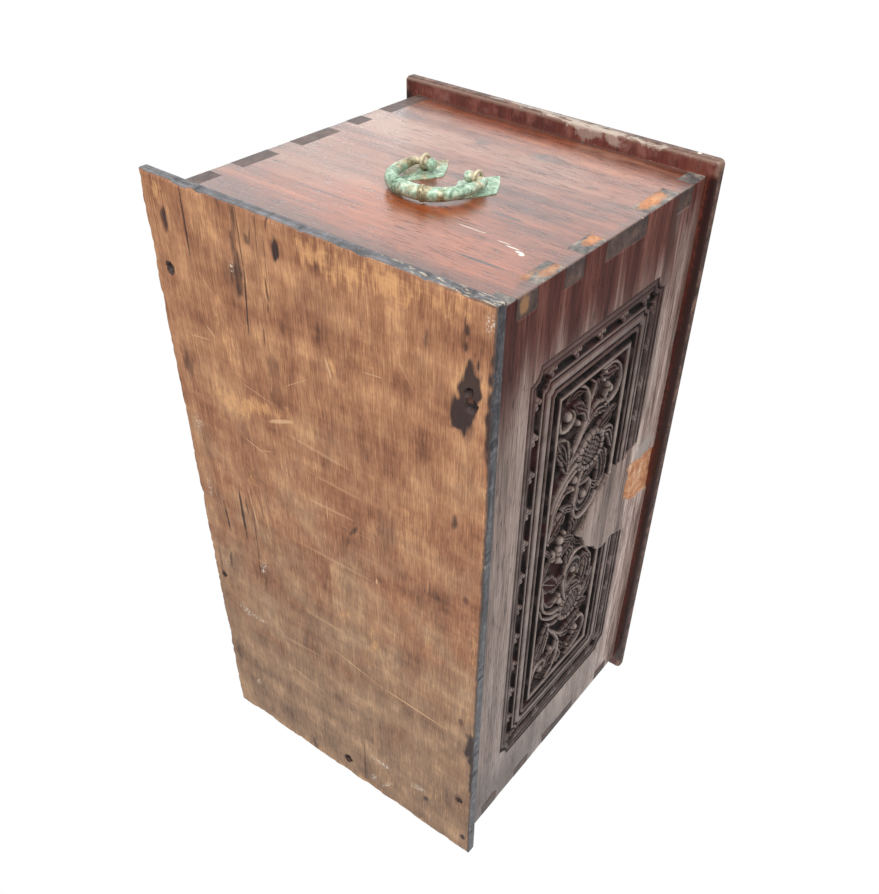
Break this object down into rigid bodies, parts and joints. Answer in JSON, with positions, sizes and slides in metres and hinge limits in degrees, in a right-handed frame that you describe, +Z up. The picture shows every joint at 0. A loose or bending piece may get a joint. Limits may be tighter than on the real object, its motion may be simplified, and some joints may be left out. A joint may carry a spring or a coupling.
{
  "type": "coffer chest",
  "caption": "Small dovetailed wooden coffer with a carved front panel, an overhanging hinged lid, a proud bottom board and bronze bail handles on the ends.",
  "frame": {"origin": "middle of the overall box, on the surface that the chest stands on", "axes": "+X along the length, to the right seen from the carved front; -Y is the carved front; +Z up, towards the lid"},
  "size_m": [0.629, 0.3314, 0.325],
  "materials": {
    "varnished_wood": "worn red-brown varnish over hardwood",
    "bare_wood": "unvarnished, scuffed and stained",
    "lid_wood": "dark worn varnish, pale chipped edges",
    "patinated_bronze": "cast bronze with pale green verdigris",
    "aged_brass": "dull aged brass",
    "iron": "rusted wrought iron"
  },
  "bodies": {
    "carcass": {"front_board": "varnished_wood", "back_board": "varnished_wood", "left_end_board": "varnished_wood", "right_end_board": "varnished_wood", "bottom_board": "bare_wood", "bottom_nails": "iron", "left_front_split_pin": "patinated_bronze", "left_front_lozenge_plate": "patinated_bronze", "left_back_split_pin": "patinated_bronze", "left_back_lozenge_plate": "patinated_bronze", "right_front_split_pin": "patinated_bronze", "right_front_lozenge_plate": "patinated_bronze", "right_back_split_pin": "patinated_bronze", "right_back_lozenge_plate": "patinated_bronze", "left_hinge_wall_leaf": "aged_brass", "left_hinge_pin": "aged_brass", "right_hinge_wall_leaf": "aged_brass", "right_hinge_pin": "aged_brass", "wall_leaf_nails": "aged_brass"},
    "lid": {"lid_panel": "lid_wood", "lid_front_rail": "lid_wood", "lid_back_rail": "lid_wood", "lid_rail_nails": "iron", "left_hinge_lid_leaf": "aged_brass", "right_hinge_lid_leaf": "aged_brass", "lid_leaf_nails": "aged_brass"},
    "left_bail": {"left_bail": "patinated_bronze"},
    "right_bail": {"right_bail": "patinated_bronze"}
  },
  "joints": [
    {"name": "lid_hinge", "type": "hinge", "parent": "carcass", "child": "lid", "pos_m": [0, 0.15405, 0.3107], "axis": [-1, 0, 0], "range_deg": [0, 105]},
    {"name": "left_bail_swing", "type": "hinge", "parent": "carcass", "child": "left_bail", "pos_m": [-0.3074, -0.00225, 0.166], "axis": [0, 1, 0], "range_deg": [0, 170]},
    {"name": "right_bail_swing", "type": "hinge", "parent": "carcass", "child": "right_bail", "pos_m": [0.3074, -0.00225, 0.166], "axis": [0, -1, 0], "range_deg": [0, 170]}
  ]
}
